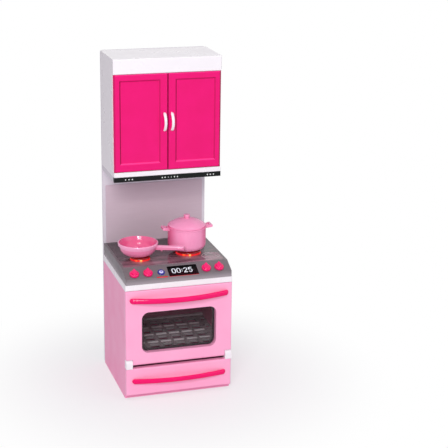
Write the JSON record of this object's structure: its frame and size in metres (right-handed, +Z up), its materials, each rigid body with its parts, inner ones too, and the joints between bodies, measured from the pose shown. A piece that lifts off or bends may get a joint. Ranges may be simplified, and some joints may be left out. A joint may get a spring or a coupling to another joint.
{
  "type": "toy kitchen oven unit",
  "caption": "Doll-size kitchen unit in pink moulded plastic: oven with drop-down door and drawer, lit hob, splashback and a cupboard with hinged doors, plus pan and lidded pot.",
  "frame": {"origin": "centre of the bounding box's footprint, on the floor plane", "axes": "+X to the unit's right as seen from the front, +Y from the oven door towards the back panel, +Z up"},
  "size_m": [0.099, 0.1026, 0.304],
  "materials": {
    "range_plastic": "satin moulded plastic",
    "oven_plastic": "satin moulded plastic",
    "rack_plastic": "satin moulded plastic",
    "white_plastic": "glossy moulded plastic",
    "deck_plastic": "satin moulded plastic",
    "hob_plastic": "glossy moulded plastic",
    "burner_red": "translucent red plastic, lit from below",
    "clock_black": "glossy window",
    "bezel_navy": "glossy moulded plastic",
    "button_lens": "glossy moulded plastic",
    "hot_pink": "glossy moulded plastic",
    "door_plastic": "satin moulded plastic",
    "board_green": "coated board",
    "switch_tan": "bare board",
    "lamp_epoxy": "clear epoxy",
    "screw_steel": "bright plated",
    "speaker_black": "matt",
    "wire_vinyl": "vinyl sleeve",
    "box_black": "matt",
    "cell_jacket": "printed steel jacket, plain",
    "back_plastic": "satin moulded plastic",
    "splash_lavender": "satin sheet",
    "strip_black": "glossy moulded plastic",
    "liner_card": "printed board, plain brown",
    "tan_card": "board, plain tan",
    "cook_pink": "glossy moulded plastic",
    "smoked_window": "smoked clear sheet"
  },
  "bodies": {
    "unit": {"range_shell": "range_plastic", "oven_box": "oven_plastic", "oven_rack": "rack_plastic", "hinge_bracket_left": "white_plastic", "hinge_bracket_right": "white_plastic", "worktop_trim": "white_plastic", "control_deck": "deck_plastic", "hob_plate": "hob_plastic", "burner_cap_left": "burner_red", "burner_cap_right": "burner_red", "clock_window": "clock_black", "button_bezel": "bezel_navy", "circuit_board": "board_green", "button_switch": "switch_tan", "burner_lamps": "lamp_epoxy", "board_screws": "screw_steel", "speaker": "speaker_black", "wires": "wire_vinyl", "battery_box": "box_black", "batteries": "cell_jacket", "battery_contacts": "screw_steel", "battery_cover": "back_plastic", "battery_screw": "screw_steel", "back_panel": "back_plastic", "back_screws": "screw_steel", "splashback": "splash_lavender", "hood_tray": "back_plastic", "hood_strip": "strip_black", "cupboard_shell": "white_plastic", "cupboard_liner": "liner_card", "cupboard_frame": "tan_card", "shelf": "tan_card", "divider": "tan_card"},
    "oven_door": {"oven_door": "door_plastic", "oven_door_inner": "door_plastic", "oven_window": "smoked_window", "oven_door_handle": "hot_pink"},
    "drawer": {"drawer_front": "door_plastic", "drawer_tray": "range_plastic", "drawer_handle": "hot_pink"},
    "cupboard_door_left": {"cupboard_door_left": "hot_pink", "bow_handle_left": "white_plastic"},
    "cupboard_door_right": {"cupboard_door_right": "hot_pink", "bow_handle_right": "white_plastic"},
    "button": {"push_button": "button_lens"},
    "knob_1": {"knob_1": "hot_pink"},
    "knob_2": {"knob_2": "hot_pink"},
    "knob_3": {"knob_3": "hot_pink"},
    "knob_4": {"knob_4": "hot_pink"},
    "pan": {"pan": "cook_pink"},
    "pot": {"pot": "cook_pink"},
    "pot_lid": {"pot_lid": "cook_pink"}
  },
  "joints": [
    {"name": "oven_door_hinge", "type": "hinge", "parent": "unit", "child": "oven_door", "pos_m": [0, -0.0386, 0.0352], "axis": [1, 0, 0], "range_deg": [0, 90]},
    {"name": "drawer_slide", "type": "slide", "parent": "unit", "child": "drawer", "axis": [0, -1, 0], "range_m": [0, 0.04]},
    {"name": "cupboard_hinge_left", "type": "hinge", "parent": "unit", "child": "cupboard_door_left", "pos_m": [-0.0472, 0.0004, 0.24652], "axis": [0, 0, -1], "range_deg": [0, 110]},
    {"name": "cupboard_hinge_right", "type": "hinge", "parent": "unit", "child": "cupboard_door_right", "pos_m": [0.0472, 0.0004, 0.24652], "axis": [0, 0, 1], "range_deg": [0, 110]},
    {"name": "button_press", "type": "slide", "parent": "unit", "child": "button", "axis": [0, 0.4091, -0.9125], "range_m": [0, 0.0008], "stiffness_N_per_m": 400, "springref_m": -0.0003},
    {"name": "knob_1_turn", "type": "hinge", "parent": "unit", "child": "knob_1", "pos_m": [-0.04, -0.03515, 0.11767], "axis": [0, -0.4091, 0.9125], "range_deg": [-135, 135]},
    {"name": "knob_2_turn", "type": "hinge", "parent": "unit", "child": "knob_2", "pos_m": [-0.0275, -0.03515, 0.11767], "axis": [0, -0.4091, 0.9125], "range_deg": [-135, 135]},
    {"name": "knob_3_turn", "type": "hinge", "parent": "unit", "child": "knob_3", "pos_m": [0.0265, -0.03515, 0.11767], "axis": [0, -0.4091, 0.9125], "range_deg": [-135, 135]},
    {"name": "knob_4_turn", "type": "hinge", "parent": "unit", "child": "knob_4", "pos_m": [0.0385, -0.03515, 0.11767], "axis": [0, -0.4091, 0.9125], "range_deg": [-135, 135]},
    {"name": "pan_lift", "type": "slide", "parent": "unit", "child": "pan", "axis": [0, 0, 1], "range_m": [0, 0.03]},
    {"name": "pot_lift", "type": "slide", "parent": "unit", "child": "pot", "axis": [0, 0, 1], "range_m": [0, 0.018]},
    {"name": "lid_lift", "type": "slide", "parent": "pot", "child": "pot_lid", "axis": [0, 0, 1], "range_m": [0, 0.015]}
  ]
}
